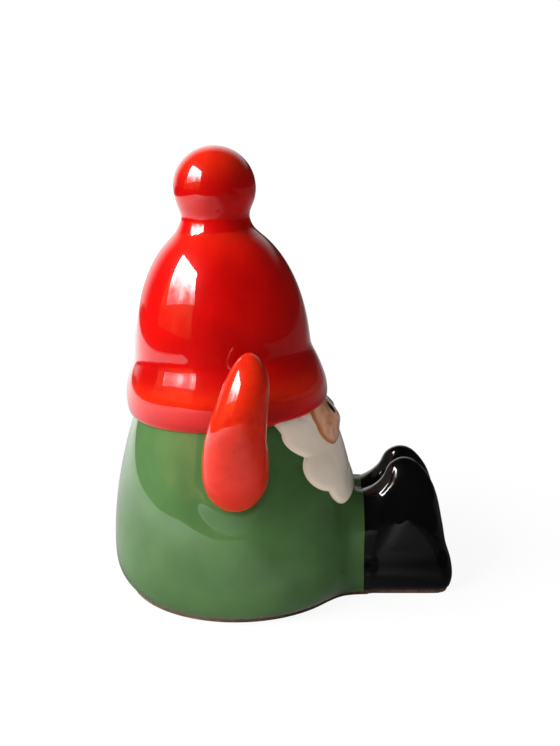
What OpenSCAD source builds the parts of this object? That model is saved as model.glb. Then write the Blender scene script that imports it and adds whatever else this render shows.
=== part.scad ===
// Seated tomte: a hollow glazed ceramic gnome on an unglazed clay foot.
// Millimetres, +Z up. The gnome faces -Y and its right side is at -X.
// The origin is on the table, under the middle of the figure's box.

/* [Tunic] */
// Widest radius of the tunic
tunic_r = 26.9; // [26:0.1:27.5]
// Height of that widest place, along the leaning axis
tunic_wide_s = 8.5; // [7:0.5:10]
// Radius of the tunic's top rim, under the brim
rim_r = 20.1; // [19.5:0.1:20.6]
// Height of the top rim, along the leaning axis
rim_s = 39.5; // [38:0.5:41]
// Backward lean of the figure's axis, in degrees
lean = 3.5; // [0:0.5:4]
// Wall of the hollow pieces
wall = 3.5; // [2.5:0.5:4]

/* [Hat] */
// Radius of the crown where it leaves the brim
crown_r = 18.7; // [18:0.1:19]
// Height of the crown's dome above its straight foot
crown_h = 30; // [28:1:32]
// How far the brim's roll stands out from the crown
brim_out = 2.6; // [2:0.1:3]
// Height of the brim's roll
brim_h = 12.6; // [11:0.1:14]
// Radius of the pompom
pompom_r = 8.6; // [8.2:0.1:9.4]
// Radius of the neck under the pompom
neck_r = 7.5; // [6.5:0.1:8]

/* [Arms] */
// Height of the arm's root above the table
arm_root_z = 31.2; // [29:0.2:33]
// Height of the mitten's tip above the table
arm_tip_z = 57.9; // [54:0.1:60]
// Distance of the mitten's tip from the middle of the figure
arm_tip_x = 28.4; // [27:0.2:31]

/* [Boots] */
// Width of one boot, which is half the width of the lap
boot_w = 11; // [10:0.5:12]
// Height of the toes above the table
toe_z = 28.9; // [27:0.1:31]
// Distance from the figure's axis to the front of the heels
heel_front = 46.4; // [45.5:0.1:47.5]
// Distance from the figure's axis to the joint between lap and boots
lap_front = 26.9; // [26:0.1:28]
// Height of the lap where the boots start
lap_z = 19.5; // [18:0.1:21]

/* [Foot] */
// Radius of the foot on the table
foot_r = 23.5; // [22.5:0.1:24]
// Height of the bare clay edge
foot_edge = 1.2; // [0.8:0.1:1.6]
// Thickness of the slab that closes the hollow
slab_t = 3.2; // [2.5:0.1:4]
// Radius of the vent hole in the slab
vent_r = 4; // [2.5:0.5:5]

/* [Face and beard] */
// How far the beard stands out from the tunic
beard_out = 1; // [0.6:0.1:1.4]
// How far the face stands out from the tunic
face_out = 1.8; // [1.5:0.1:2]
// How far the tip of the nose stands out from the tunic
nose_out = 2.4; // [2.3:0.1:3]

/* [Hidden] */
$fn = 96;
far = 80;                            // longer than any cut through the figure
lap_w = 2 * boot_w;
// The figure reaches from its back to the heels, and the origin is halfway.
back_reach = tunic_r + tunic_wide_s * 0.07;
body_y = (heel_front - back_reach) / 2;
// The lean shifts the foot's rounding outward, so it starts a little wider than the tunic.
foot_swell_r = tunic_r + 0.5;
crown_s = rim_s + 10.5;              // top of the crown's straight foot
crown_top_s = crown_s + crown_h * 0.926;
pompom_s = crown_top_s + 8.4;        // centre of the ball
pocket_h = crown_h - 1.3 * wall;
web_r = 13;                          // hollow corner between the round foot and the lap
web_y = sqrt(pow(foot_r + web_r, 2) - pow(boot_w + web_r, 2));
eye_x = 3.8;                           // from the middle of the face
eye_s = rim_s - 1.6;
eye_r = 1.4;
eye_out = face_out + 0.4;
nose_s = rim_s - 3.9;
nose_ball_r = 5.5;
red = [0.78, 0.05, 0.03];
green = [0.22, 0.45, 0.20];
cream = [0.86, 0.80, 0.70];
skin = [0.68, 0.40, 0.25];
black = [0.03, 0.03, 0.04];
clay = [0.36, 0.25, 0.20];

// Radius of the tunic at height s along the axis: straight below the widest place, then a slow curve inwards.
function tunic_at(s) = s < tunic_wide_s ? tunic_r
    : tunic_r - (tunic_r - rim_r) * pow((s - tunic_wide_s) / (rim_s - tunic_wide_s), 1.8);
// Radius of a dome of foot radius r and height h, at a share t of its height.
function dome_at(r, t) = r * sqrt(1 - pow(min(t, 1), 2.27));
// Shares of a height, crowded towards the top, where a dome turns fastest.
function shares(n, from = 0, to = 1) = [for (i = [0:n]) from + (to - from) * sin(90 * i / n)];

// Children stand on the figure's axis, which leans back from the middle of the foot.
module on_axis() {
    translate([0, body_y, 0]) rotate([-lean, 0, 0]) children();
}
// Both sides of the figure: -1 is the gnome's right.
module at_side(side) {
    if (side < 0) children();
    else mirror([1, 0, 0]) children();
}
// Space above the bare clay edge.
module above_foot() {
    translate([-far, -far, foot_edge]) cube([2 * far, 2 * far, 2 * far]);
}

// The tunic's outline turned about the leaning axis, grown by out, up to the rim.
module tunic_turned(out = 0) {
    heights = [for (t = shares(12)) tunic_wide_s + (rim_s - tunic_wide_s) * t];
    rotate_extrude() polygon(concat([[0, -4], [tunic_r + out, -4]],
        [for (s = heights) [tunic_at(s) + out, s]], [[0, rim_s]]));
}
// The upright rounding of the foot, grown by out: it swells from the foot's radius to the tunic's.
module foot_rounding(out = 0) {
    steps = [for (i = [0:8]) i / 8];
    rotate_extrude() polygon(concat([[0, 0]],
        [for (t = steps) [foot_swell_r - (foot_swell_r - foot_r) * pow(1 - t, 3) + out, tunic_wide_s * t]],
        [[far, tunic_wide_s], [far, far], [0, far]]));
}
// The tunic as a solid, or its hollow when out is minus the wall.
module tunic_solid(out = 0) {
    intersection() {
        on_axis() tunic_turned(out);
        translate([0, body_y, 0]) foot_rounding(out);
    }
}
// The foot seen from above: round under the tunic, with a tongue under the boots and hollow corners between.
module foot_plan() {
    translate([0, body_y]) {
        circle(foot_r);
        difference() {
            polygon([[-boot_w, 0], [boot_w, 0], [foot_r * (boot_w + web_r) / (foot_r + web_r),
                -foot_r * web_y / (foot_r + web_r)], [boot_w, -web_y], [-boot_w, -web_y],
                [-foot_r * (boot_w + web_r) / (foot_r + web_r), -foot_r * web_y / (foot_r + web_r)]]);
            for (x = [-1, 1]) translate([x * (boot_w + web_r), -web_y]) circle(web_r);
        }
        translate([-boot_w, 4 - heel_front]) square([lap_w, heel_front - 8]);
        for (x = [-1, 1]) translate([x * (boot_w - 4), 5 - heel_front]) circle(4);
        translate([4 - boot_w, 1 - heel_front]) square([lap_w - 8, 8]);
    }
}
// The short lap that the boots start from: an arch carried forward from the middle of the tunic.
module lap() {
    translate([0, body_y, 0]) rotate([90, 0, 0]) linear_extrude(lap_front) {
        translate([0, lap_z - boot_w]) circle(boot_w);
        translate([-boot_w, 0]) square([lap_w, lap_z - boot_w]);
    }
    // the hollow corners, sloping down from the tunic
    intersection() {
        linear_extrude(20) foot_plan();
        translate([0, body_y, 0]) cylinder(h = 20, r1 = foot_r + 7.5, r2 = foot_r);
        translate([-far, body_y - lap_front, 0]) cube([2 * far, lap_front, far]);
    }
}
module tunic_shell() color(green) difference() {
    intersection() {
        union() {
            tunic_solid();
            lap();
        }
        above_foot();
    }
    tunic_solid(-wall);
    // the rim is open, so the hat's hollow joins the tunic's
    on_axis() translate([0, 0, rim_s - 2]) cylinder(r = rim_r - wall, h = 4);
}
// A thin clay sole with a plug that fits the hollow, and a vent for the kiln.
module base_slab() color(clay) difference() {
    union() {
        linear_extrude(foot_edge) foot_plan();
        intersection() {
            tunic_solid(-wall);
            translate([-far, -far, foot_edge / 2]) cube([2 * far, 2 * far, slab_t - foot_edge / 2]);
        }
    }
    translate([0, body_y, -1]) cylinder(r = vent_r, h = slab_t + 2);
}

// The crown: a straight foot inside the brim, then a dome cut flat for the pompom.
module hat_crown() color(red) on_axis() difference() {
    rotate_extrude() polygon(concat([[0, rim_s], [crown_r, rim_s]],
        [for (t = shares(14, 0, 0.926)) [dome_at(crown_r, t), crown_s + crown_h * t]], [[0, crown_top_s]]));
    rotate_extrude() polygon(concat([[0, rim_s - 1], [crown_r - wall, rim_s - 1]],
        [for (t = shares(12)) [dome_at(crown_r - wall, t), crown_s + pocket_h * t]]));
}
// The brim: a roll round the crown, blunt below and tapering above.
module hat_brim() color(red) on_axis() {
    low = brim_h / 3;
    rotate_extrude() polygon(concat([[crown_r, rim_s]],
        [for (i = [0:6]) let (t = 1 - i / 6) [crown_r + 0.7 + (brim_out - 0.7) * sqrt(1 - pow(t, 4)),
            rim_s + low * (1 - t)]],
        [for (i = [1:9]) [crown_r + brim_out * cos(90 * i / 9), rim_s + low + (brim_h - low) * i / 9]]));
}
module pompom() color(red) on_axis() {
    translate([0, 0, pompom_s]) sphere(pompom_r);
    translate([0, 0, crown_top_s]) cylinder(r = neck_r, h = 4.5);
}

// One raised mitten: a broad root on the tunic's side that narrows to a rounded tip beside the hat.
module arm(side) color(red) at_side(side) difference() {
    hull() {
        at_arm(0, -22.6, 0, 6.4, 5.2);
        at_arm(0.22, -26.2, 0.3, 6, 4.8);
        at_arm(0.52, -28.6, 1.3, 5.3, 4.5);
        at_arm(0.86, -arm_tip_x, 2.6, 4, 3.6);
    }
    on_axis() tunic_turned();
}
// A flattened ball on the arm's line: share t of the height from root to tip, x, how far it sits forward,
// its radius seen from the side, and its half thickness.
module at_arm(t, x, forward, r, half) {
    z = arm_root_z + (arm_tip_z - arm_root_z) * t;
    translate([x, body_y - forward, z]) scale([half / r, 1, 1]) sphere(r, $fn = 40);
}

// One boot: toe up, sole forward, standing beside its twin on the tongue of the foot.
module boot(side) color(black) at_side(side) intersection() {
    hull() {
        at_boot(4.4, 10.9, toe_z - 3.9, 3.9);
        at_boot(4.9, 8.3, toe_z - 7.4, 4.1);
        at_boot(5.4, 7.9, 14, 5.4);
        at_boot(5.5, 5.5, 4.6, 5.5);
        at_boot(7.8, 3.6, 3.4, 3.2);
        at_boot(3.2, 3.2, 3.4, 3.2);
        // half of the lap's arch
        translate([0, body_y - lap_front, 0]) rotate([90, 0, 0]) linear_extrude(1) intersection() {
            union() {
                translate([0, lap_z - boot_w]) circle(boot_w, $fn = 48);
                translate([-boot_w, 0]) square([lap_w, lap_z - boot_w]);
            }
            translate([-boot_w, 0]) square([boot_w, lap_z]);
        }
    }
    translate([-boot_w, body_y - heel_front, foot_edge]) cube([boot_w, heel_front - lap_front, toe_z]);
}
// A ball in the boot: its distance from the middle, from the heels' front, its height and its radius.
module at_boot(x, behind, z, r) {
    translate([-x, body_y - heel_front + behind, z]) sphere(r, $fn = 40);
}

// A skin on the tunic between two distances from it, cut to a flat outline seen from the front.
module front_skin(out, from = 0) {
    on_axis() intersection() {
        difference() {
            tunic_turned(out);
            tunic_turned(from);
        }
        rotate([90, 0, 0]) linear_extrude(far) children();
    }
}
// Five round lobes: a wide one below, and two up each side.
module beard_outline() {
    translate([-13.5, 24.3]) square([27, rim_s - 24.3]);
    translate([-9.9, 19.5]) square([19.8, 6]);
    for (x = [-1, 1]) {
        translate([x * 9.9, 23.9]) circle(4.4);
        translate([x * 12.7, 28.6]) circle(5.1);
        translate([x * 13.4, 35.6]) circle(4.5);
        translate([x * 13.4 - 3.7, 35.6]) square([7.4, rim_s - 35.6]);
    }
}
module face_outline() {
    translate([-11, 36.4]) square([22, rim_s - 36.4]);
    translate([-7.1, 32]) square([14.2, rim_s - 32]);
    for (x = [-1, 1]) translate([x * 7.1, 36]) circle(4);
}
module beard() color(cream) front_skin(beard_out) difference() {
    beard_outline();
    face_outline();
}
module face() color(skin) front_skin(face_out) face_outline();
// A low round cap: a ball sunk in the face until only its front is left, below the brim.
module nose() color(skin) on_axis() difference() {
    intersection() {
        translate([0, nose_ball_r - nose_out - tunic_at(nose_s), nose_s]) sphere(nose_ball_r);
        translate([-far, -far, 0]) cube([2 * far, far, rim_s]);
    }
    tunic_turned(face_out);
}
// A round dot of glaze on the face.
module eye(side) color(black) front_skin(eye_out, face_out) translate([side * eye_x, eye_s]) circle(eye_r);
module eye_right() eye(-1);
module eye_left() eye(1);
module arm_right() arm(-1);
module arm_left() arm(1);
module boot_right() boot(-1);
module boot_left() boot(1);

tunic_shell();
base_slab();
hat_crown();
hat_brim();
pompom();
arm_right();
arm_left();
boot_right();
boot_left();
beard();
face();
nose();
eye_right();
eye_left();
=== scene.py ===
# %% [markdown]
# # A seated tomte in glazed clay
# The real thing is a hollow figure, turned and modelled in brown clay, then dipped and brushed with
# glossy glazes. Everything that shows is soft: no edge is sharper than a layer of melted glass can make
# it. It could be sculpted by hand or carved out of a voxel grid, but each of its pieces is simple enough
# to be a formula, and a formula stays smooth however close the camera comes. So every piece below is a
# grid of points, worked out as whole numpy arrays, and wrapped into a closed skin.
#
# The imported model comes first, because it says where each piece sits. Lengths of the figure are in
# millimetres here, and become metres where a mesh is made. The gnome faces -Y, and its right is at -X.

# %% Load the frame
import math

import bpy
import numpy as np
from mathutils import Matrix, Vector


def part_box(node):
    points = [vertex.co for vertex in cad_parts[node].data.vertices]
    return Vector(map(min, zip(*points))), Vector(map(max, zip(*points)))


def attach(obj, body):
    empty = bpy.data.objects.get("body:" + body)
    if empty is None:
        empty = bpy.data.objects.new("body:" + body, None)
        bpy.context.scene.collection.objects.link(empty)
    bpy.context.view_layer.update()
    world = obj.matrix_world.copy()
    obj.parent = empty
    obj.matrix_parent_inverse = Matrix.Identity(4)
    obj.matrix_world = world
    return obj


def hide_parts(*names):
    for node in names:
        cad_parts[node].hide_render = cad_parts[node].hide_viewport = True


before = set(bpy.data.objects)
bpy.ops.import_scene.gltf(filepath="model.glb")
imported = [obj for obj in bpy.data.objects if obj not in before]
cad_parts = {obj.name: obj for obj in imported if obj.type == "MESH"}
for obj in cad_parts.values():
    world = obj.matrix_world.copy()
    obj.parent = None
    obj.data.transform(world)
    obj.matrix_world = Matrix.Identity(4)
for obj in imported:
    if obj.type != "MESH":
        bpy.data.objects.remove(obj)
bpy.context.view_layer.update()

MM = 0.001
print("nodes:", sorted(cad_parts))

# %% [markdown]
# ## The camera
# A close-up with a normal lens: the camera stands on the gnome's right, less than a quarter of a metre away
# and a little above its head, and looks down. An orthographic camera would be easier to place, but it would
# lose the strong perspective that shows the near arm large, and the far toe behind the near one.

# %% Camera
def box_mm(node):
    """The two corners of a CAD node's box, in millimetres."""
    low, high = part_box(node)
    return np.array(low) / MM, np.array(high) / MM


slab_high = box_mm("base_slab")[1]
foot_r = slab_high[0]
body_y = slab_high[1] - foot_r       # the figure's axis meets the table here

camera_away, camera_up = 229.2, 106.3
camera_forward = 8.9                 # towards the gnome's front, from its axis
camera_tilt = 14.6                   # degrees below level
lens_mm, film_mm = 53.1, 36.0

camera = bpy.data.objects.new("camera", bpy.data.cameras.new("camera"))
camera.data.lens = lens_mm
camera.data.sensor_width = film_mm
camera.data.clip_start = 0.01
camera.location = (-camera_away * MM, (body_y - camera_forward) * MM, camera_up * MM)
camera.rotation_euler = (math.radians(90 - camera_tilt), 0, math.radians(-90))
bpy.context.scene.collection.objects.link(camera)
bpy.context.scene.camera = camera
print("axis of the figure at y =", round(body_y, 2), "mm")

# %% [markdown]
# ## Helpers: one skin for every piece
# A lathe modifier, a sculpt or a stack of primitives could each make part of this figure, but then every
# piece would have its own kind of mesh. Here every piece is rings of points. `wrap` joins neighbouring
# rings with quads, and closes both ends with a fan, or joins the last ring to the first, as on a
# ring-shaped wall.

# %% Wrap rings of points into a closed mesh
def volume_of(points, quads):
    """Signed volume: each quad as two triangles, each triangle with the origin as a thin tetrahedron."""
    a, b, c, d = (points[quads[:, i]] for i in range(4))
    return (np.einsum("ij,ij->", a, np.cross(b, c)) + np.einsum("ij,ij->", a, np.cross(c, d))) / 6


def wrap(name, rings, ring_shaped=False, sharp=(), marks=None):
    """Makes a closed mesh of rings[ring, column, xyz] in millimetres. Faces point outwards.

    sharp lists rings where the surface turns a corner. marks holds per-point values for the materials."""
    count, around = rings.shape[:2]
    points = rings.reshape(-1, 3)
    ring = np.arange(count if ring_shaped else count - 1)[:, None]
    column = np.arange(around)[None, :]
    following, right = (ring + 1) % count, (column + 1) % around
    quads = np.stack([ring * around + column, ring * around + right,
                      following * around + right, following * around + column], -1).reshape(-1, 4)
    fans = np.zeros((0, 3), int)
    marks = {key: np.asarray(value, float).reshape(-1) for key, value in (marks or {}).items()}
    if not ring_shaped:
        first, last = np.arange(around), (count - 1) * around + np.arange(around)
        poles = len(points) + np.array([0, 1])
        points = np.concatenate([points, rings[0].mean(0)[None], rings[-1].mean(0)[None]])
        fans = np.concatenate([
            np.stack([np.full(around, poles[0]), np.roll(first, -1), first], -1),
            np.stack([np.full(around, poles[1]), last, np.roll(last, -1)], -1)])
        marks = {key: np.concatenate([value, [value[:around].mean(), value[-around:].mean()]])
                 for key, value in marks.items()}
    if volume_of(points, quads) < 0:
        quads, fans = quads[:, ::-1], fans[:, ::-1]

    mesh = bpy.data.meshes.new(name)
    mesh.vertices.add(len(points))
    mesh.vertices.foreach_set("co", (points * MM).astype(np.float32).ravel())
    corners = np.concatenate([quads.ravel(), fans.ravel()])
    mesh.loops.add(len(corners))
    mesh.loops.foreach_set("vertex_index", corners.astype(np.int32))
    starts = np.concatenate([np.arange(len(quads)) * 4, len(quads) * 4 + np.arange(len(fans)) * 3])
    mesh.polygons.add(len(starts))
    mesh.polygons.foreach_set("loop_start", starts.astype(np.int32))
    mesh.update(calc_edges=True)
    mesh.shade_smooth()

    ends = np.zeros(len(mesh.edges) * 2, np.int32)
    mesh.edges.foreach_get("vertices", ends)
    ends = ends.reshape(-1, 2)
    rings_of = ends // around
    corner = np.isin(rings_of[:, 0], list(sharp)) & (rings_of[:, 0] == rings_of[:, 1])
    mesh.attributes.new("sharp_edge", "BOOLEAN", "EDGE").data.foreach_set("value", corner)
    for key, value in marks.items():
        mesh.attributes.new(key, "FLOAT", "POINT").data.foreach_set("value", value.astype(np.float32))

    piece = bpy.data.objects.new(name, mesh)
    bpy.context.scene.collection.objects.link(piece)
    return piece


def finish_piece(piece, slot, material, *nodes):
    """Gives the piece its material, and lets it stand for its CAD nodes. slot is not used."""
    piece.data.materials.append(material)
    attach(piece, "root")
    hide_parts(*nodes)
    print(f"{piece.name}: {len(piece.data.polygons)} faces")


# %% [markdown]
# ## Small tools
# Clay and glaze have no corners: a step, a joint or a rim is always eased over. A bevel modifier could
# round them afterwards, but only along edges that exist. These few functions round things where they are
# worked out, and every profile and field below shares them.

# %% Small tools for curves and fields
def ease(t):
    """0 below 0, 1 above 1, and a smooth step between."""
    t = np.clip(t, 0, 1)
    return t * t * (3 - 2 * t)


def soft_max(*values, width):
    """The largest value, its corners rounded over about that width: the log of the summed exponentials."""
    return width * np.logaddexp.reduce([v / width for v in np.broadcast_arrays(*values)])


def soft_join(a, b, width):
    """The lower of two fields, with a fillet where they are closer than width: two solids run together."""
    share = np.clip(0.5 + 0.5 * (b - a) / width, 0, 1)
    return b * (1 - share) + a * share - width * share * (1 - share)


def even(curve, count):
    """count points spaced evenly along a curve given as many points."""
    steps = np.linalg.norm(np.diff(curve, axis=0), axis=1)
    along = np.concatenate([[0], np.cumsum(steps)])
    wanted = np.linspace(0, along[-1], count)
    return np.stack([np.interp(wanted, along, curve[:, i]) for i in range(curve.shape[1])], -1)


def reach(field, start, direction, longest):
    """How far each ray goes from inside a solid until it leaves it, by halving the gap again and again."""
    near = np.zeros(np.broadcast(start[..., 0], direction[..., 0]).shape)
    far = np.full_like(near, longest)
    for _ in range(30):
        middle = (near + far) / 2
        inside = field(start + direction * middle[..., None]) < 0
        near, far = np.where(inside, middle, near), np.where(inside, far, middle)
    return (near + far) / 2


sample = reach(lambda p: np.linalg.norm(p, axis=-1) - 5, np.zeros((1, 3)), np.array([[1.0, 0, 0]]), 8.0)
print("from the middle of a 5 mm ball, a ray leaves it after", round(float(sample[0]), 3), "mm")

# %% [markdown]
# ## The leaning axis
# The figure was turned on a wheel and then sat back a little, so hat, brim and tunic share one axis that
# leans back by a few degrees. Each piece could be made upright and turned afterwards, but its foot has to
# stay level. So points go to and from a leaning frame, in which a profile is a plain curve of radius
# against height: x goes sideways, u forward and s up along the axis.

# %% Sizes from the frame, and the leaning frame
lean = math.radians(3.5)
lean_cos, lean_sin = math.cos(lean), math.sin(lean)

tunic_high = box_mm("tunic_shell")[1]
crown_high = box_mm("hat_crown")[1]
brim_high = box_mm("hat_brim")[1]
ball_high = box_mm("pompom")[1]
boot_low, boot_high = box_mm("boot_right")

tunic_r = tunic_high[0]
wide_s = 8.5                         # height of the tunic's widest place
rim_r = 0.747 * tunic_r
rim_s = (tunic_high[2] - rim_r * lean_sin) / lean_cos
wall = 3.5
crown_r = crown_high[0]
brim_r = brim_high[0]
ball_r = ball_high[0]
neck_r = 7.2
ball_s = (ball_high[2] - ball_r) / lean_cos
crown_s = rim_s + 10.5               # here the crown starts to dome
crown_h = 30
seam_s = crown_s + 0.926 * crown_h   # crown and pompom meet here
lap_front = body_y - boot_high[1]
heel_front = body_y - boot_low[1]
print(f"tunic {tunic_r:.1f}, rim {rim_s:.1f}, crown {crown_r:.1f}, brim {brim_r:.1f}, ball {ball_r:.1f} mm")


def to_row(x, u, s):
    """From the leaning frame (sideways, forward, up along the axis) to the model's own frame."""
    x, u, s = np.broadcast_arrays(x, u, s)
    return np.stack([x, body_y - (u * lean_cos - s * lean_sin), u * lean_sin + s * lean_cos], -1)


def to_lean(p):
    """From the model's own frame to the leaning one: sideways, forward and up along the axis."""
    ahead, z = body_y - p[..., 1], p[..., 2]
    return p[..., 0], ahead * lean_cos + z * lean_sin, z * lean_cos - ahead * lean_sin


def by_hand(angle, s):
    """The slight unevenness of hand-turned clay: two and three gentle waves round the figure."""
    return 1 + 0.0028 * np.sin(2 * angle + 1.1 + s / 31) + 0.0018 * np.sin(3 * angle + 0.4 - s / 17)


def turn(profile, around=256):
    """Turns a profile of (radius, height) round the leaning axis. The ball sits slightly ahead of it."""
    angle = np.linspace(0, 2 * np.pi, around, endpoint=False)[None, :]
    r, s = profile[:, :1], profile[:, 1:]
    r = r * by_hand(angle, s)
    return to_row(r * np.sin(angle), r * np.cos(angle) + 0.6 * ease((s - ball_s + 10) / 8), s)


# %% [markdown]
# ## Hat: crown, brim and pompom
# On the real figure a dome, a rolled coil and a ball are stuck together with wet clay and smoothed with a
# finger. Three separate lathe shapes would meet in hard creases. So one function gives the whole hat's
# radius, with each joint rounded by a soft maximum, and the three pieces are cut from it where the clay
# pieces meet.

# %% The hat's outline
brim_wide_s = rim_s + 4.2            # the roll is fullest here
brim_top_s = rim_s + 12.7
dome_middle_s = 65                   # the roll's joint lies below this height, and the neck's above it
neck_from_s = 70


def dome(s, radius, height):
    """A dome: radius times the root of 1 - t to the power 2.27, where t is the share of its height."""
    t = np.clip((s - crown_s) / height, 0, 1)
    return radius * np.sqrt(np.clip(1 - t ** 2.27, 0, 1))


def hat_radius(s):
    """The hat's radius at height s: brim roll, dome, neck and ball, joined softly.

    The roll falls as a cosine, the ball is a circle, and the neck is straight with a flare at its foot."""
    t = (s - brim_wide_s) / (brim_top_s - brim_wide_s)
    curl = np.where(t < 1, np.cos(np.pi / 2 * np.clip(t, 0, 1)), 1.57 * (1 - t))
    roll = crown_r + (brim_r - crown_r) * curl
    lower = soft_max(roll, dome(s, crown_r, crown_h), width=0.22)
    ball = np.sqrt(np.clip(ball_r ** 2 - (s - ball_s) ** 2, 0, None))
    neck = np.where(s > neck_from_s, neck_r + 0.25 * np.clip(ball_s - 6 - s, 0, 3.5) ** 1.5, 0)
    upper = soft_max(dome(s, crown_r, crown_h), ball, neck, width=0.3)
    return np.where(s < dome_middle_s, lower, upper)


def outline(radius, low, high, count):
    """Evenly spaced points of a profile between two heights."""
    s = np.linspace(low, high, 1500)
    return even(np.stack([radius(s), s], -1), count)


def straight(*corners, count=8):
    """Points along straight lines between corners."""
    corners = np.array(corners, float)
    sides = zip(corners[:-1], corners[1:])
    return np.concatenate([np.linspace(a, b, count, endpoint=False) for a, b in sides])


for spot, s in (("roll", brim_wide_s), ("dome", dome_middle_s), ("neck", ball_s - 8), ("ball", ball_s)):
    print(f"hat's radius at the {spot}: {float(hat_radius(s)):.1f} mm")

# %% [markdown]
# ## Glaze
# A glaze is coloured glass over clay: it has a deep colour that clouds a little where it lies thicker, it
# breaks to a warmer, browner tone where it runs thin over an edge, and its surface is smooth as glass but
# never flat. A plain glossy colour would look like plastic. So each glaze is a soft coloured layer below a
# clear coat, and the coat waves by a few hundredths of a millimetre. Each piece marks its own thin places,
# point by point. On the arms the same mark also carries painted light that brightens the whole arm.

# %% Node helpers
def node(tree, kind, inputs=None, **settings):
    """Adds a node. inputs fills its sockets, by name or number, from values or other nodes' outputs."""
    made = tree.nodes.new(kind)
    for key, value in settings.items():
        setattr(made, key, value)
    for key, value in (inputs or {}).items():
        if isinstance(value, bpy.types.NodeSocket):
            tree.links.new(value, made.inputs[key])
        else:
            made.inputs[key].default_value = value
    return made


def new_material(name):
    """An empty node material: its tree, and the Principled shader's node."""
    material = bpy.data.materials.new(name)
    material.use_nodes = True
    tree = material.node_tree
    tree.nodes.clear()
    shader = node(tree, "ShaderNodeBsdfPrincipled")
    node(tree, "ShaderNodeOutputMaterial", {"Surface": shader.outputs[0]})
    return material, tree, shader


def noise(tree, waves, detail=2.0, roughness=0.5):
    """Noise on object coordinates, in waves a metre."""
    place = node(tree, "ShaderNodeTexCoord").outputs["Object"]
    return node(tree, "ShaderNodeTexNoise", {"Vector": place, "Scale": waves, "Detail": detail,
                                             "Roughness": roughness}).outputs["Fac"]


def between(tree, value, low, high, at_low=0.0, at_high=1.0):
    """A smooth step from at_low to at_high as value goes from low to high."""
    ends = {"From Min": low, "From Max": high, "To Min": at_low, "To Max": at_high}
    step = node(tree, "ShaderNodeMapRange", {"Value": value, **ends}, interpolation_type="SMOOTHSTEP")
    return step.outputs["Result"]


def times(tree, a, b):
    """The product of a and b, each a socket or a number."""
    return node(tree, "ShaderNodeMath", {0: a, 1: b}, operation="MULTIPLY").outputs[0]


def plus(tree, a, b):
    """The sum of a and b, each a socket or a number."""
    return node(tree, "ShaderNodeMath", {0: a, 1: b}, operation="ADD").outputs[0]


def times_plus(tree, a, b, c):
    """a times b, plus c, each a socket or a number."""
    return node(tree, "ShaderNodeMath", {0: a, 1: b, 2: c}, operation="MULTIPLY_ADD").outputs[0]


def blend(tree, share, a, b, kind="MIX"):
    """Mixes two colours, each a socket or a tuple, by a share."""
    a, b = ((*c, 1.0) if isinstance(c, tuple) else c for c in (a, b))
    return node(tree, "ShaderNodeMix", {0: share, 6: a, 7: b}, data_type="RGBA", blend_type=kind).outputs[2]


def mark(tree, name):
    """The value that a piece's points carry under that name."""
    return node(tree, "ShaderNodeAttribute", attribute_name=name).outputs["Fac"]


def bump(tree, shader, *layers):
    """Stacks bumps on the shader and on its coat. Each layer is a height and a depth in metres."""
    normal = None
    for height, depth in layers:
        inputs = {"Height": height, "Distance": depth, "Strength": 1.0}
        if normal:
            inputs["Normal"] = normal
        normal = node(tree, "ShaderNodeBump", inputs).outputs["Normal"]
    tree.links.new(normal, shader.inputs["Normal"])
    tree.links.new(normal, shader.inputs["Coat Normal"])


# %% The glazes
def glossy(shader, roughness=0.3):
    """A soft layer below, and a clear coat that gives the one sharp reflection."""
    shader.inputs["Roughness"].default_value = roughness
    shader.inputs["Specular IOR Level"].default_value = 0.04
    shader.inputs["Coat Weight"].default_value = 1.0
    shader.inputs["Coat Roughness"].default_value = 0.02
    shader.inputs["Coat IOR"].default_value = 1.52


def glaze(name, deep, body, thin, waves=0.00007):
    """A glossy glaze: its body colour clouds towards deep, and breaks to thin where a piece is marked."""
    material, tree, shader = new_material(name)
    clouds = blend(tree, between(tree, noise(tree, 70, 3.0), 0.3, 0.68), deep, body)
    broken = between(tree, noise(tree, 420, 4.0, 0.6), 0.2, 0.6, 0.5, 1.0)
    colour = blend(tree, times(tree, mark(tree, "thin"), broken), clouds, thin)
    tree.links.new(colour, shader.inputs["Base Color"])
    glossy(shader)
    bump(tree, shader, (noise(tree, 95, 1.0), waves), (noise(tree, 900, 1.0), waves / 28))
    return material


# Each glaze: its deep colour, its body colour, and the colour it breaks to where it is thin.
red_glaze = glaze("red_glaze", (0.31, 0.0010, 0.0008), (0.43, 0.0018, 0.0010), (0.74, 0.040, 0.006))
green_glaze = glaze("green_glaze", (0.043, 0.098, 0.030), (0.060, 0.132, 0.042), (0.11, 0.12, 0.05))
black_glaze = glaze("black_glaze", (0.0012, 0.0012, 0.0015), (0.003, 0.003, 0.0035), (0.03, 0.018, 0.012))
cream_glaze = glaze("cream_glaze", (0.78, 0.65, 0.53), (0.86, 0.74, 0.61), (0.55, 0.38, 0.24))
print("glazes:", [m.name for m in (red_glaze, green_glaze, black_glaze, cream_glaze)])

# %% [markdown]
# ### Crown
# The real crown is a hollow dome that stands on the tunic's rim. It could be half a sphere with its foot
# pulled out, but one turned profile gives the inside, the foot and the outside together. Its glaze ran
# down a little in the kiln, so it lies thinner towards the top.

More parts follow.
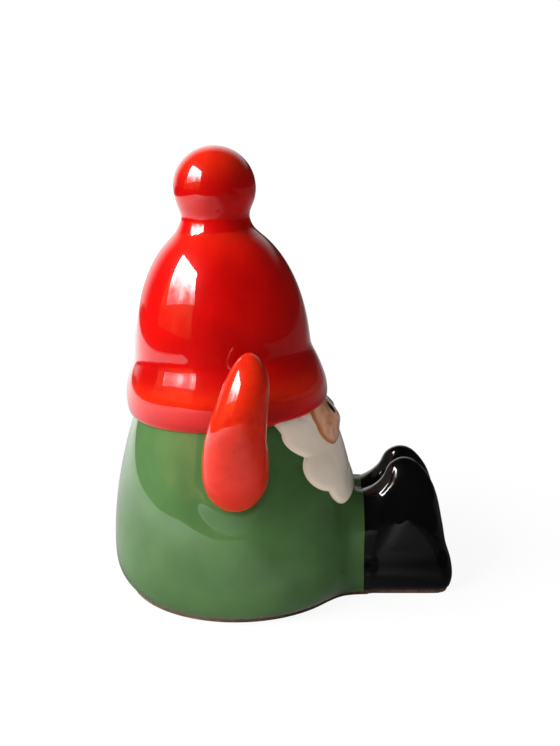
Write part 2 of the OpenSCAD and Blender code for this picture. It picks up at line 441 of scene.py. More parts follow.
# %% Crown
inner_r = crown_r - wall
pocket_h = crown_h - 1.3 * wall
under_brim = crown_r - 0.8
crown_outside = outline(hat_radius, brim_top_s, seam_s, 110)
crown_foot_s = rim_s + 0.2           # a hair's width above the rim
pocket_top_s = crown_s + 0.999 * pocket_h
crown_inside = outline(lambda s: dome(s, inner_r, pocket_h), crown_foot_s, pocket_top_s, 50)[::-1]
crown_foot = straight((inner_r, crown_foot_s), (under_brim, crown_foot_s), (under_brim, brim_top_s - 0.4),
                      crown_outside[0])
crown_profile = np.concatenate([crown_inside[:-1], crown_foot, crown_outside])
crown_corners = [len(crown_inside) - 1, len(crown_inside) - 1 + len(crown_foot), len(crown_profile) - 1]
crown_height = np.broadcast_to(crown_profile[:, 1:], (len(crown_profile), 256))
crown = wrap("glazed_crown", turn(crown_profile), sharp=crown_corners,
             marks={"thin": 0.25 * ease((crown_height - brim_top_s - 18) / 12)})
finish_piece(crown, "red_glaze", red_glaze, "hat_crown")

# %% [markdown]
# ### Brim
# A coil of clay is pressed round the crown's foot and rolled over with a finger, and it stands out a
# little further above the face. A torus would be too even, and it would float in front of the crown. So
# the brim's profile follows the hat's own outline above, closes in a full round below, and lies flat
# against the crown behind. The glaze breaks to orange along its lower lip.

# %% Brim
quarter = np.linspace(0, np.pi / 2, 300)
roll_below = np.stack([crown_r + (brim_r - crown_r) * np.sin(quarter),
                       brim_wide_s - (brim_wide_s - rim_s + 0.25) * np.sqrt(np.cos(quarter))], -1)
roll_above = outline(hat_radius, brim_wide_s, brim_top_s, 400)
brim_outside = even(np.concatenate([roll_below, roll_above[1:]]), 90)
brim_back = straight(brim_outside[-1], (under_brim, brim_top_s - 0.4), (under_brim, rim_s + 0.4),
                     brim_outside[0])
brim_profile = np.concatenate([brim_outside[:-1], brim_back])
brim_angle = np.linspace(0, 2 * np.pi, 256, endpoint=False)
from_front = np.abs((brim_angle + np.pi) % (2 * np.pi) - np.pi)
bulge = 1 + 0.02 * np.exp(-(from_front / 0.6) ** 2) * ease((48 - brim_profile[:, 1:]) / 6)
side, ahead, up = to_lean(turn(brim_profile))
brim_points = to_row(side * bulge, ahead * bulge, up)
thin_lip = 0.8 * ease((rim_s + 1.4 - brim_profile[:, 1:]) / 1.6)
thin_shoulder = 0.3 * np.exp(-((brim_profile[:, 1:] - brim_wide_s - 2.5) / 2.2) ** 2)
brim_thin = thin_lip + thin_shoulder
brim = wrap("rolled_brim", brim_points, ring_shaped=True, sharp=[len(brim_outside) - 1],
            marks={"thin": np.broadcast_to(brim_thin, (len(brim_profile), 256))})
finish_piece(brim, "red_glaze", red_glaze, "hat_brim")

# %% [markdown]
# ### Pompom
# The real one is a ball of clay, set on the dome with a short neck. A sphere on a cylinder would show a
# crease between them, so the lower half follows the hat's outline, where neck and ball already run
# together, and a quarter circle closes the top.

# %% Pompom
over = np.linspace(0, np.pi / 2, 300)
ball_below = outline(hat_radius, seam_s, ball_s, 400)
ball_above = np.stack([ball_below[-1, 0] * np.cos(over), ball_s + ball_r * np.sin(over)], -1)
ball_outside = even(np.concatenate([ball_below, ball_above[1:]]), 110)[:-1]
ball_foot = straight((0.5, seam_s), ball_outside[0], count=4)
ball_profile = np.concatenate([ball_foot, ball_outside])
pompom = wrap("glazed_pompom", turn(ball_profile), sharp=[len(ball_foot)],
              marks={"thin": np.broadcast_to(0.3 * ease((ball_profile[:, 1:] - ball_s) / 8),
                                             (len(ball_profile), 256))})
finish_piece(pompom, "red_glaze", red_glaze, "pompom")

# %% [markdown]
# ## Boots and body as one field
# The tunic, the short lap and the two boots were pressed together and smoothed, so no seam shows but the
# change of glaze. A boolean would leave a crease there. A field does not: it is a function that is
# negative in the clay and positive outside, and two fields joined softly leave a fillet. Rays from inside
# then find where the field turns positive, which gives each piece its grid of points.

# %% The boots' outline from the side
# Forward distance and height: up the instep, over the toe, down the sole to the heel, then below the table.
boot_outline = np.array([
    (20, 17.2), (26.6, 18.9), (29.4, 20.4), (31.6, 24.0), (33.2, 27.4), (36.0, 28.9), (39.0, 28.0),
    (41.9, 24.6), (43.6, 20.6), (44.9, 14.6), (45.6, 10.6), (46.7, 7.0), (47.1, 3.6), (46.5, 0.8),
    (44, -6), (32, -9), (20, -6)], float)
boot_outline[:, 0] += heel_front - 47.1


def closed_curve(corners, per_side):
    """A smooth closed curve through corners, at each parallel to the line between its neighbours."""
    before, a, b, after = (np.roll(corners, shift, 0)[:, None] for shift in (1, 0, -1, -2))
    t = np.linspace(0, 1, per_side, endpoint=False)[None, :, None]
    curve = 0.5 * (2 * a + (b - before) * t + (2 * before - 5 * a + 4 * b - after) * t ** 2
                   + (3 * a - before - 3 * b + after) * t ** 3)
    return curve.reshape(-1, corners.shape[1])


def distance_map(curve, low, high, step):
    """Signed distance to a closed curve on a grid of points: the way to the nearest of its short sides.

    It is negative inside, where a level line from the point crosses the curve an odd number of times."""
    u, v = (np.arange(low[i], high[i] + step, step) for i in (0, 1))
    points = np.stack(np.meshgrid(u, v, indexing="ij"), -1)[:, :, None]
    a, b = curve[None, None], np.roll(curve, -1, 0)[None, None]
    share = np.clip(((points - a) * (b - a)).sum(-1) / ((b - a) ** 2).sum(-1), 0, 1)
    distance = np.linalg.norm(points - a - share[..., None] * (b - a), axis=-1).min(-1)
    crosses = (a[..., 1] > points[..., 1]) != (b[..., 1] > points[..., 1])
    rise = np.where(np.abs(b - a)[..., 1] < 1e-9, 1e-9, (b - a)[..., 1])
    at = a[..., 0] + (points[..., 1] - a[..., 1]) * (b - a)[..., 0] / rise
    inside = (crosses & (points[..., 0] < at)).sum(-1) % 2 == 1
    return np.where(inside, -distance, distance)


map_low, map_high, map_step = (14.0, -14.0), (56.0, 40.0), 0.25
boot_map = distance_map(closed_curve(boot_outline, 12), map_low, map_high, map_step)


def read_map(ahead, z):
    """The boots' side distance at any point, between the grid's points by bilinear interpolation."""
    i = np.clip((ahead - map_low[0]) / map_step, 0, boot_map.shape[0] - 1.001)
    j = np.clip((z - map_low[1]) / map_step, 0, boot_map.shape[1] - 1.001)
    i0, j0 = i.astype(int), j.astype(int)
    di, dj = i - i0, j - j0
    low = boot_map[i0, j0] * (1 - di) + boot_map[i0 + 1, j0] * di
    high = boot_map[i0, j0 + 1] * (1 - di) + boot_map[i0 + 1, j0 + 1] * di
    return low * (1 - dj) + high * dj


print("distance map of the boots:", boot_map.shape)

# %% [markdown]
# ### The fields
# Each part of the clay has its own field: a turned pot for the tunic, an arch for the lap, and the boots'
# side outline with a width. They could be three meshes, joined and then smoothed, but smoothing moves
# every point a little. A join of fields moves only what lies within the fillet's width.

# %% The fields
boot_w = boot_high[0] - boot_low[0]
lap_z = 19.5                         # the lap's ridge
arm_root_z, arm_root_ahead = 31.0, -0.1


def tunic_radius(angle, s, z):
    """Straight to the widest place, a slow curve in to the rim above it, and a tuck at the table."""
    above = np.clip((s - wide_s) / (rim_s - wide_s), 0, 1.5)
    tuck = np.clip(1 - z / wide_s, 0, 1.3)
    r = tunic_r - (tunic_r - rim_r) * above ** 1.8 - (tunic_r - foot_r) * tuck ** 3
    return r * by_hand(angle, s)


def body_field(p):
    """Distance to the tunic, with a low ring of clay pushed up round each arm's root."""
    x, u, s = to_lean(p)
    ahead, z = body_y - p[..., 1], p[..., 2]
    from_arm = np.hypot((ahead - arm_root_ahead) / 6.3, (z - arm_root_z) / 6.9) - 1
    ring = 0.85 * np.exp(-(np.clip(from_arm, 0, None) * 6.5 / 1.9) ** 2) * ease((np.abs(x) - 8) / 6)
    ring = ring * ease((arm_root_z - 1 - z) / 6)
    return 0.97 * (np.hypot(x, u) - tunic_radius(np.arctan2(x, u), s, z) - ring)


def side_half(z):
    """Half the width of the two boots together: they flare at the table and draw in towards the toes."""
    return boot_w - 0.9 * ease((z - 3) / 7) - 3.4 * np.clip((z - 15) / 14, 0, 1) ** 1.6


def lap_field(p):
    """An arch as wide as both boots with full shoulders (cubes added, not squares), carried forward."""
    above, ahead = np.clip(p[..., 2] - (lap_z - boot_w), 0, None), body_y - p[..., 1]
    across = np.abs(p[..., 0]) * boot_w / side_half(p[..., 2])
    arch = np.cbrt(across ** 3 + above ** 3) - boot_w
    return np.maximum(arch, np.abs(ahead - lap_front / 2) - lap_front / 2 - 1)


def boot_field(p):
    """Both boots: the side outline, given a width and rounded where the two meet.

    Each side has a shallow crease up to the toe, and the groove between the boots opens with height."""
    side, ahead, z = np.abs(p[..., 0]), body_y - p[..., 1], p[..., 2]
    along = 0.46 * (ahead - 33.4) + 0.89 * (z - 17)
    across = 0.89 * (ahead - 33.4) - 0.46 * (z - 17)
    outer = side_half(z) - 0.5 * np.exp(-(across / 1.8) ** 2 - (along / 6.5) ** 4)
    inner = 1.1 * ease((z - 8) / 18)
    middle, half = (outer + inner) / 2, (outer - inner) / 2
    radius = 3.0 + (half - 3.0) * ease((z - 6) / 13)
    a = read_map(ahead, z) * (1 - 0.5 * ease((z - 9) / 11)) + radius
    b = np.abs(side - middle) - half + radius
    return np.minimum(np.maximum(a, b), 0) + np.hypot(np.clip(a, 0, None), np.clip(b, 0, None)) - radius


def clay_field(p):
    """Everything below the hat in one skin, with wide fillets at the table and tighter ones at the lap."""
    width = 2.2 + 3.6 * ease(1 - p[..., 2] / lap_z)
    lap = soft_join(body_field(p), lap_field(p), width)
    forward = ease((body_y - p[..., 1] - 20) / 9)
    return soft_join(lap, boot_field(p), 2.2 + 4.4 * ease((p[..., 2] - 8) / 8) * forward)


for spot, ahead, z in (("tunic", 0.0, 20.0), ("lap", 26.0, 10.0), ("toe", 37.0, 25.0)):
    depth = -float(clay_field(np.array([boot_w / 2, body_y - ahead, z])))
    print(f"clay round a point inside the {spot}: {depth:.1f} mm")

# %% [markdown]
# ### Boots
# The real boots are one block of clay, pressed in at the sides and parted by a groove at the toes, and
# dipped in black up to the lap. Each could be a box that is subdivided and pulled. Rays from a spine
# inside the boot are surer, because they end exactly on the skin that the tunic shares.

# %% Boots
glaze_z = 1.0                        # the glaze was wiped off below this height
boot_columns = np.linspace(0, 2 * np.pi, 224, endpoint=False)[None, :]


def boot_rings(count):
    """The spine: points from the lap to the heel's front, closer together where the sole falls steeply."""
    t = np.linspace(0, 1, count)
    ahead = lap_front + (heel_front - 0.02 - lap_front) * np.sin(np.pi / 2 * t) ** 0.92
    low_down = ease((heel_front - ahead) / 3.6)
    z = 3.6 + 5.4 * low_down
    return ahead[:, None], z[:, None]


def one_boot(side):
    """The boot's points: from a spine inside it, rays in each upright plane reach the clay's skin."""
    ahead, z = boot_rings(170)
    x = np.full_like(z, 0.48 * boot_w)
    start = np.stack(np.broadcast_arrays(x, body_y - ahead, z), -1)
    ray = np.stack(np.broadcast_arrays(np.cos(boot_columns), 0, np.sin(boot_columns)), -1)

    def cut(p):
        """The clay, cut level where the glaze was wiped off and upright between the two boots."""
        flat = soft_max(clay_field(p), glaze_z - p[..., 2], width=0.12)
        return np.maximum(flat, -p[..., 0])

    points = start + ray * reach(cut, start, ray, 30.0)[..., None]
    heel_gap = np.linspace(0, 1, 6)[1:, None, None]
    back = points[0] + (points[0].mean(0) - points[0]) * heel_gap[::-1]
    points = np.concatenate([back, points])
    points[..., 0] *= side
    return points, 5


for name, side in (("boot_right", -1), ("boot_left", 1)):
    points, corner = one_boot(side)
    edge = ease((glaze_z + 1.0 - points[..., 2]) / 1.2)
    boot = wrap("toe_" + name, points, sharp=[corner], marks={"thin": edge})
    finish_piece(boot, "black_glaze", black_glaze, name)

# %% [markdown]
# ### Tunic
# This is the hollow pot that carries everything: wide at the table, drawn in to the rim under the hat,
# and pulled forward into a lap. A lathe could make the pot but not the lap. So level rays go out from the
# leaning axis and end on the clay, with more of them where the lap begins, and a plain wall closes it
# inside.

# %% Tunic
def crowded_angles(count):
    """Angles round the tunic, in equal steps of a sum that grows faster where the lap's sides leave it."""
    angle = np.linspace(-np.pi, np.pi, 4001)
    dense = 1 + 5 * np.exp(-((np.abs(angle) - 0.42) / 0.11) ** 2)
    total = np.concatenate([[0], np.cumsum((dense[1:] + dense[:-1]) / 2)])
    return np.interp(np.linspace(0, total[-1], count, endpoint=False), total, angle)


angle = crowded_angles(440)[None, :]
rim_z = rim_r * np.cos(angle) * lean_sin + (rim_s + 0.6) * lean_cos
share = np.linspace(0, 1, 150)[:, None]
z = glaze_z + (rim_z - glaze_z) * share
axis = np.stack(np.broadcast_arrays(0 * z, body_y + z * lean_sin / lean_cos, z), -1)
ray = np.stack(np.broadcast_arrays(np.sin(angle), -np.cos(angle), 0 * z), -1)


def tunic_cut(p):
    """The clay's skin, held a little lower past the lap so that the boots cover it."""
    past = body_y - p[..., 1] - lap_front
    return np.maximum(clay_field(p) + 0.15 * ease(past / 0.3), past - 1.2)


outside = axis + ray * reach(tunic_cut, axis, ray, 40.0)[..., None]
inside_z = 3.0 + (rim_z - 3.0) * np.linspace(1, 0, 30)[:, None]
inside_s = inside_z / lean_cos
inside_r = tunic_radius(angle, inside_s, inside_z) - wall
inside_y = body_y + inside_z * lean_sin / lean_cos
inside_axis = np.stack(np.broadcast_arrays(0 * inside_z, inside_y, inside_z), -1)
inside_ray = np.stack(np.broadcast_arrays(np.sin(angle), -np.cos(angle), 0 * inside_z), -1)
inside = inside_axis + inside_ray * inside_r[..., None]
tunic_points = np.concatenate([outside, inside])
edge = ease((glaze_z + 0.9 - tunic_points[..., 2]) / 1.0)
tunic_corners = [0, len(outside) - 1, len(outside), len(tunic_points) - 1]
tunic = wrap("glazed_tunic", tunic_points, ring_shaped=True, sharp=tunic_corners, marks={"thin": edge})
finish_piece(tunic, "green_glaze", green_glaze, "tunic_shell")

# %% [markdown]
# ### Arms
# Each arm is a roll of clay like a mitten, pressed on the tunic's side and raised until it rests beside
# the brim. A curve with a round bevel would give a tube of one width. Here half width, thickness and
# place are each a function of height, so the arm swells at its root, bends in at its tip and lies flatter
# on its inner side.

# %% Arms
def arm_points(side):
    """A sausage along a line that leaves the tunic and leans out until it stands beside the brim.

    Its half width falls with the fourth power of its height, both ends are rounded, and its outer face
    bends in with the square of the height. The half that faces the tunic flares, as clay does where it is
    pressed on."""
    low, high = 24.3, box_mm("arm_right")[1][2] - 0.8
    t = (1 - np.cos(np.linspace(0, np.pi, 130))) / 2
    t = (0.0004 + 0.9992 * t)[:, None]
    bottom = np.sqrt(np.clip(1 - np.clip(1 - t / 0.25, 0, 1) ** 2.2, 0, 1))
    top = np.sqrt(np.clip(1 - np.clip((t - 0.72) / 0.28, 0, 1) ** 2.6, 0, 1))
    phi = np.linspace(0, 2 * np.pi, 160, endpoint=False)[None, :]
    inner = np.clip(-np.sin(phi), 0, 1)
    flare = 1.4 * inner ** 0.8 * ease((0.62 - t) / 0.3)
    wide = (5.4 + 1.0 * ease((0.8 - t) / 0.5) - 1.7 * t ** 4 + flare) * bottom * top
    thick = (4.9 + 0.3 * t) * bottom * top * (1 - 0.15 * ease((t - 0.4) / 0.3) * inner)
    ahead = -0.1 + 0.9 * t + 2.25 * ease((t - 0.45) / 0.5)
    away = 23.6 + 5.0 * ease((t + 0.05) / 0.68)
    bend = 4.2 * np.clip((t - 0.6) / 0.4, 0, 1) ** 2 * (0.65 + 0.35 * top * np.sin(phi))
    z = low + (high - low) * t
    x = side * (away + thick * np.sin(phi) - bend)
    return np.stack(np.broadcast_arrays(x, body_y - ahead - wide * np.cos(phi), z), -1)


for name, side in (("arm_right", -1), ("arm_left", 1)):
    points = arm_points(side)
    near_root = body_field(points)
    # The thin mark is 0.36 all over the arm. This is partly the arm's own more orange red and partly
    # painted light that brightens the raised arm. It rises near the root, where the glaze breaks thin.
    arm = wrap("raised_" + name, points, marks={"thin": 0.36 + 0.64 * ease((1.7 - near_root) / 1.5)})
    finish_piece(arm, "red_glaze", red_glaze, name)

# %% [markdown]
# ### Skins on the tunic: the beard first
# Beard, face, nose and eyes are thin pads, laid on the tunic's front before the firing. A plane could be
# shrink-wrapped on the tunic, but its edge would be ragged. So each pad starts as a flat outline in width
# and height, put together from discs and rectangles. It then goes on the tunic's own surface and is
# lifted by a rounded edge. The beard's lobes are overlapping discs, and its middle runs straight across.

# %% Skins on the tunic, and the beard
front_r = 27                         # about the tunic's radius at the face


def front_point(x, s, out):
    """The point of the tunic's front at x and height s, moved outwards by out."""
    r = tunic_radius(np.arcsin(np.clip(x / front_r, -1, 1)), s, s)
    angle = np.arcsin(np.clip(x / r, -0.999, 0.999))
    return to_row((r + out) * np.sin(angle), (r + out) * np.cos(angle), s)


def disc(centre, radius, q):
    """Distance to a round spot."""
    return np.hypot(q[..., 0] - centre[0], q[..., 1] - centre[1]) - radius


def slab(low, high, q):
    """Distance to an upright rectangle."""
    middle, half = (np.array(low) + high) / 2, (np.array(high) - low) / 2
    away = np.abs(q - middle) - half
    return np.hypot(*np.moveaxis(np.clip(away, 0, None), -1, 0)) + np.minimum(away.max(-1), 0)


def mirrored(q):
    """Both halves of the face from one."""
    return np.stack([np.abs(q[..., 0]), q[..., 1]], -1)


def beard_outline(q):
    """Distance to the beard: a pad with three lobes up each side, and a broad edge below."""
    q = mirrored(q)
    return np.minimum.reduce([
        slab((-13.5, rim_s - 15.2), (13.4, rim_s + 1.5), q),
        slab((-10, rim_s - 20.1), (9.9, rim_s - 14), q),
        disc((9.9, rim_s - 15.6), 4.45, q), disc((12.7, rim_s - 10.9), 5.1, q),
        disc((13.4, rim_s - 3.9), 4.5, q), slab((13, rim_s - 4), (17.4, rim_s + 1.5), q)])


def face_outline(q):
    """A broad round patch, nearly flat below, that goes up under the brim and narrows there."""
    q = mirrored(q)
    return np.minimum.reduce([
        slab((-7.3, rim_s - 7.5), (7.2, rim_s + 1.8), q), disc((7.3, rim_s - 3.6), 3.9, q),
        disc((6.7, rim_s - 1.4), 4.35, q), slab((0, rim_s - 1.4), (10.4, rim_s + 1.8), q)])


def rounded(depth, radius):
    """The height of a quarter-round edge at a depth inside the outline."""
    return np.sqrt(np.clip(1 - (1 - np.clip(depth / radius, 0, 1)) ** 2, 0, 1))


def beard_out(x, s):
    """The beard's height on the tunic: a rounded edge, then a slow rise towards its middle."""
    depth = -beard_outline(np.stack(np.broadcast_arrays(x, s), -1))
    return 0.9 * rounded(depth, 1.6) + 0.35 * ease(depth / 8)


def face_out(x, s):
    """The face's height: about level with the beard at its edge, and a shallow lens below the brim."""
    depth = -face_outline(np.stack(np.broadcast_arrays(x, s), -1))
    lens = (1 - (np.clip(np.abs(x), 0, 12) / 12) ** 2) * np.exp(-((s - rim_s + 2.2) / 4.6) ** 2)
    return 1.05 + 0.25 * rounded(depth, 0.8) + 1.0 * lens * ease(depth / 4)


def patch(edge_of, centre, out, rings=90, around=320, sink=0.5):
    """A skin on the tunic: rings grow from the centre to the outline, then turn under and close behind."""
    phi = np.linspace(0, 2 * np.pi, around, endpoint=False)[None, :]
    ray = np.stack([np.cos(phi), np.sin(phi)], -1)
    longest = reach(edge_of, np.array(centre, float)[None, None], ray, 40.0)
    share = np.sin(np.linspace(0.004, 1, rings) * np.pi / 2)[:, None]
    q = np.array(centre) + ray * (longest * share)[..., None]
    lift = out(q[..., 0], q[..., 1])
    front = front_point(q[..., 0], q[..., 1], lift)
    below = np.linspace(0.97, 0.02, 8)[:, None]
    q_back = np.array(centre) + ray * (longest * below)[..., None]
    back = front_point(q_back[..., 0], q_back[..., 1], -sink)
    depth = np.concatenate([-edge_of(q), -edge_of(q_back)])
    return np.concatenate([front, back]), depth


points, depth = patch(beard_outline, (0.0, rim_s - 8.5), beard_out)
beard = wrap("lobed_beard", points, marks={"thin": 0.5 * ease((0.5 - depth) / 0.6)})
finish_piece(beard, "cream_glaze", cream_glaze, "beard")

# %% [markdown]
# ### Face
# The face is a patch of brown glaze under the brim, darker along its edge, where the brush left more.
# That line could be a thin tube, but on a glaze it is colour and nothing else. So the points near the
# outline carry a mark, and the material darkens there.

# %% Face
skin_glaze, tree, shader = new_material("skin_glaze")
skin_clouds = between(tree, noise(tree, 330, 3.0), 0.35, 0.65)
skin_cloud = blend(tree, skin_clouds, (0.62, 0.26, 0.125), (0.80, 0.42, 0.26))
skin_colour = blend(tree, mark(tree, "line"), skin_cloud, (0.50, 0.155, 0.055))
tree.links.new(skin_colour, shader.inputs["Base Color"])
glossy(shader)
bump(tree, shader, (noise(tree, 140, 1.0), 0.00006), (noise(tree, 900, 1.0), 0.000003))

points, depth = patch(face_outline, (0.0, rim_s - 2.5), face_out)
face = wrap("face_patch", points, marks={"line": ease((1.25 - depth) / 1.0)})
finish_piece(face, "skin_glaze", skin_glaze, "face")

# %% [markdown]
# ### Nose and eyes
# The nose is a low bump pushed up from the face, and the eyes are thick dots of black glaze. Small
# spheres would stand out like beads. So they are patches again, each lifted over an oval by a curve of
# its own: a cosine for the nose, and a half oval for an eye.

# %% Nose and eyes
nose_at, nose_size = (0.0, rim_s - 4.3), (3.3, 3.3)
eye_size = (1.0, 1.35)


def scaled_away(centre, size, x, s):
    """How far a point is from the centre of an oval, where the oval's edge is at 1."""
    return np.hypot((x - centre[0]) / size[0], (s - centre[1]) / size[1])


def oval(centre, size):
    """An outline function for an oval spot: the scaled distance from its centre, less one."""
    return lambda q: (scaled_away(centre, size, q[..., 0], q[..., 1]) - 1) * min(size)


def nose_out(x, s):
    """The nose's height: the face's, and half a millimetre that falls off as a squared cosine."""
    away = scaled_away(nose_at, nose_size, x, s)
    return face_out(x, s) - 0.04 + 0.5 * np.cos(np.pi / 2 * np.clip(away, 0, 1)) ** 2


points, depth = patch(oval(nose_at, nose_size), nose_at, nose_out, rings=40, around=120, sink=-0.6)
nose = wrap("small_nose", points, marks={"line": 0 * depth})
finish_piece(nose, "skin_glaze", skin_glaze, "nose")

for name, side in (("eye_right", -1), ("eye_left", 1)):
    eye_at = (side * 2.6, rim_s - 1.0)

    def eye_out(x, s, eye_at=eye_at):
        """The eye's height: the face's, and a third of a millimetre that falls off as a half oval."""
        away = scaled_away(eye_at, eye_size, x, s)
        return face_out(x, s) - 0.05 + 0.3 * np.sqrt(np.clip(1 - away ** 2, 0, 1))

    points, depth = patch(oval(eye_at, eye_size), eye_at, eye_out, rings=24, around=80, sink=-0.6)
    eye = wrap("painted_" + name, points, marks={"thin": 0 * depth})
    finish_piece(eye, "black_glaze", black_glaze, name)

# %% [markdown]
# ### Clay foot
# Below the wiped edge of the glaze the bare brown clay shows, and a slab of it closes the hollow, with a
# hole that lets the steam out in the kiln. A flat copy of the tunic's outline would leave out the boots.
# Rays on the same field follow them too, so the foot stays half a millimetre inside the glaze all round.
# Its material is rough grit with smoke stains, and no coat.

# %% Clay foot
bare_clay, tree, shader = new_material("bare_clay")
grains = between(tree, noise(tree, 1400, 4.0, 0.7), 0.35, 0.6)
grit = blend(tree, grains, (0.085, 0.045, 0.030), (0.15, 0.085, 0.055))
stains = between(tree, noise(tree, 90, 3.0), 0.3, 0.7)
smoke = blend(tree, stains, (0.75, 0.72, 0.70), (1.0, 1.0, 1.0))
tree.links.new(blend(tree, 1.0, grit, smoke, "MULTIPLY"), shader.inputs["Base Color"])
shader.inputs["Roughness"].default_value = 0.85
bump(tree, shader, (noise(tree, 2200, 3.0, 0.7), 0.00006), (noise(tree, 300, 2.0), 0.00012))

vent_r, slab_t, edge_z = 4.0, 3.2, 1.15
foot_start = np.stack(np.broadcast_arrays(0 * angle, body_y + 0 * angle, 1.2 + 0 * angle), -1)
foot_ray = np.stack([np.sin(angle), -np.cos(angle), 0 * angle], -1)


def foot_cut(p):
    """The clay, drawn in by half a millimetre, and cut off just behind the heels' front."""
    return np.maximum(clay_field(p) + 0.5, body_y - p[..., 1] - heel_front + 0.7)


foot_reach = reach(foot_cut, foot_start, foot_ray, 60.0)
plug_r = np.minimum(foot_reach - 2.5, foot_r - wall + 1)
vent = 0 * foot_reach + vent_r
sections = [(vent, slab_t), (vent, 0.35), (vent + 0.1, 0.1), (vent + 0.35, 0.0),
            (0.5 * (vent + foot_reach), 0.0), (foot_reach - 0.35, 0.0), (foot_reach - 0.1, 0.1),
            (foot_reach, 0.35), (foot_reach, edge_z), (plug_r + 0.5, edge_z), (plug_r, slab_t)]
foot_rings = np.concatenate([foot_start + foot_ray * r[..., None] for r, _ in sections])
foot_rings[..., 2] = np.array([z for _, z in sections])[:, None]
foot = wrap("clay_foot", foot_rings, ring_shaped=True, sharp=[0, 8, 9, 10])
finish_piece(foot, "bare_clay", bare_clay, "base_slab")

# %% [markdown]
# ## Floor, window and room
# A glaze shows what stands around it, so the room matters as much as the glaze. A plain even light would
# leave the figure dull. Here one tall window stands behind the figure, a pale sheet lies under it, and the
# rest of the room is dim. The eye would see a grey room, so the camera's own rays find white instead: the
# world and the floor ask which kind of ray has reached them.
#
# The floor is a plain white sheet to the camera. In a reflection it glows with painted light: bright behind
# the figure and dim in front of it, with soft edges, and bright again on the far side of the table.

# %% Floor
floor_half = 6.0                     # metres
floor_corners = [(-floor_half, -floor_half, 0), (floor_half, -floor_half, 0),
                 (floor_half, floor_half, 0), (-floor_half, floor_half, 0)]
floor_mesh = bpy.data.meshes.new("floor")
floor_mesh.from_pydata(floor_corners, [], [(0, 1, 2, 3)])
floor = bpy.data.objects.new("floor", floor_mesh)
bpy.context.scene.collection.objects.link(floor)

floor_paper, tree, shader = new_material("floor_paper")
shader.inputs["Base Color"].default_value = (0.9, 0.9, 0.9, 1)
shader.inputs["Roughness"].default_value = 0.8
place = node(tree, "ShaderNodeTexCoord").outputs["Object"]
axes = node(tree, "ShaderNodeSeparateXYZ", {0: place})
from_figure = node(tree, "ShaderNodeVectorMath", {0: place}, operation="LENGTH").outputs["Value"]
rays = node(tree, "ShaderNodeLightPath")
white = node(tree, "ShaderNodeEmission", {"Color": (1, 1, 1, 1)})
plain = times(tree, rays.outputs["Is Camera Ray"], between(tree, from_figure, 0.03, 0.12, 0.92, 1.0))

# In reflections the sheet glows with painted light, brighter towards the window, and a painted shadow of
# the figure darkens it near its foot.
east, north = axes.outputs["X"], axes.outputs["Y"]
near_light = between(tree, north, -0.05, 0.0, 0.05, 0.5)
window_light = between(tree, north, 0.02, 0.2, 0.0, 1.2)
foot_shade = between(tree, from_figure, 0.032, 0.055, 0.35, 1.0)
sheet = times(tree, plus(tree, near_light, window_light), foot_shade)
sheet_edges = ((east, -0.28, -0.26), (north, -0.25, -0.23), (north, 0.34, 0.30))
for axis, gone, full in sheet_edges:
    below, above = float(gone > full), float(gone < full)
    sheet = times(tree, sheet, between(tree, axis, min(gone, full), max(gone, full), below, above))

# The far side of the table glows with painted light beyond a slanting line, and fades out towards the
# gnome's front.
sidelong = times_plus(tree, north, -0.8, east)
far_side = times(tree, between(tree, sidelong, 0.1, 0.35), between(tree, north, -0.3, 0.3, 0.1, 1.0))
table = node(tree, "ShaderNodeEmission", {"Color": (1, 1, 1, 1), "Strength": plus(tree, sheet, far_side)})
seen = node(tree, "ShaderNodeMixShader", {0: plain, 1: shader.outputs[0], 2: white.outputs[0]})
reflected = node(tree, "ShaderNodeMixShader", {0: rays.outputs["Is Glossy Ray"], 1: seen.outputs[0],
                                               2: table.outputs[0]})
output = next(n for n in tree.nodes if n.type == "OUTPUT_MATERIAL")
tree.links.new(reflected.outputs[0], output.inputs["Surface"])
floor_mesh.materials.append(floor_paper)
print("floor:", 2 * floor_half, "m across,", len(tree.nodes), "nodes")

# %% [markdown]
# ### Window
# The tall highlights on hat and brim are one window, with sky above and a warm garden below. A picture of
# a room could be reflected instead, but two rectangles of light are enough. Real sky and leaves are never
# even, so each rectangle fades downwards and carries soft clouds.

# %% Window
window_away = 0.6                    # metres behind the figure
eye_level = 0.05                     # metres, where a height of 0 in a pane is


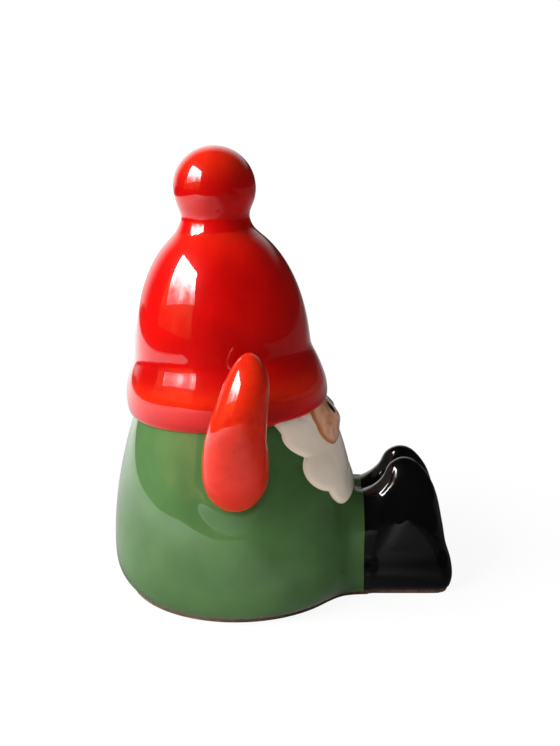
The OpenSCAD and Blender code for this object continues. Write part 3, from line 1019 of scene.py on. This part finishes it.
def pane(name, left, right, low, high, radiance, tilt=0.0, dimmest=1.0, waves=0.0, colour=(1, 1, 1)):
    """An upright rectangle of light behind the figure, facing it. Its sides are shares of its distance.

    Its power is radiance times pi times its area. Its height, from 0 at the top, plus waves of noise, takes
    it smoothly from full light to the dimmest share at its lower edge."""
    data = bpy.data.lights.new(name, "AREA")
    data.shape = "RECTANGLE"
    data.size, data.size_y = (left - right) * window_away, (high - low) * window_away
    data.energy = radiance * math.pi * data.size * data.size_y
    data.color = colour
    data.use_nodes = True
    tree = data.node_tree
    tree.nodes.clear()
    place = node(tree, "ShaderNodeNewGeometry").outputs["Parametric"]
    height = node(tree, "ShaderNodeSeparateXYZ", {0: place}).outputs["Y"]
    cloud = node(tree, "ShaderNodeTexNoise", {"Vector": place, "Scale": 4.0, "Detail": 3.0}).outputs["Fac"]
    level = times_plus(tree, cloud, waves, height)
    strength = between(tree, level, 0.5 * waves + 0.25, 0.5 * waves + 1.0, 1.0, dimmest)
    glow = node(tree, "ShaderNodeEmission", {"Color": (1, 1, 1, 1), "Strength": strength})
    node(tree, "ShaderNodeOutputLight", {"Surface": glow.outputs[0]})
    light = bpy.data.objects.new(name, data)
    middle_z = eye_level + (low + high) / 2 * window_away
    light.location = ((left + right) / 2 * window_away, window_away, middle_z)
    light.rotation_euler = (math.radians(-90), math.radians(tilt), 0)
    bpy.context.scene.collection.objects.link(light)
    print(f"{name}: {data.size:.2f} by {data.size_y:.2f} m, {data.energy:.1f} W")


pane("window_sky", -0.02, -1.25, 0.42, 1.32, 30.0, tilt=20, dimmest=0.08, waves=0.8)
pane("window_garden", -0.02, -1.28, 0.02, 0.62, 1.4, dimmest=0.35, waves=1.5, colour=(1, 0.42, 0.12))

# %% [markdown]
# ### Room
# The rest of the room is dim but for one pale wall on the gnome's left. It shows in the glaze where the
# figure turns away from the eye. It could be a real wall of geometry, but the world can draw it from
# direction alone. Matt surfaces get a quiet fill instead, a little stronger from the window's side, and
# the camera sees white.

# %% Room
world = bpy.data.worlds.new("studio")
world.use_nodes = True
bpy.context.scene.world = world
tree = world.node_tree
tree.nodes.clear()
rays = node(tree, "ShaderNodeLightPath")
direction = node(tree, "ShaderNodeTexCoord").outputs["Generated"]
toward = node(tree, "ShaderNodeSeparateXYZ", {0: direction}).outputs
wall_foot = times_plus(tree, toward["Y"], 0.35, toward["Z"])
pale_wall = times(tree, between(tree, toward["X"], 0.45, 0.85), between(tree, wall_foot, 0.05, 0.2))
pale_wall = times(tree, pale_wall, between(tree, toward["Y"], -0.9, 0.3, 0.3, 1.4))
room = times_plus(tree, pale_wall, 0.9, 0.015)
room_light = node(tree, "ShaderNodeBackground", {"Color": (1, 0.98, 0.96, 1), "Strength": room})
fill = between(tree, toward["Y"], -0.9, 0.6, 0.18, 0.34)
fill_light = node(tree, "ShaderNodeBackground", {"Color": (1, 1, 1, 1), "Strength": fill})
wall_light = node(tree, "ShaderNodeBackground", {"Color": (1, 1, 1, 1), "Strength": 1.0})
unseen = node(tree, "ShaderNodeMixShader", {0: rays.outputs["Is Glossy Ray"], 1: fill_light.outputs[0],
                                            2: room_light.outputs[0]})
shown = node(tree, "ShaderNodeMixShader", {0: rays.outputs["Is Camera Ray"], 1: unseen.outputs[0],
                                           2: wall_light.outputs[0]})
node(tree, "ShaderNodeOutputWorld", {"Surface": shown.outputs[0]})
bpy.context.scene.view_settings.view_transform = "Standard"
print("world:", world.name, "with", len(tree.nodes), "nodes")
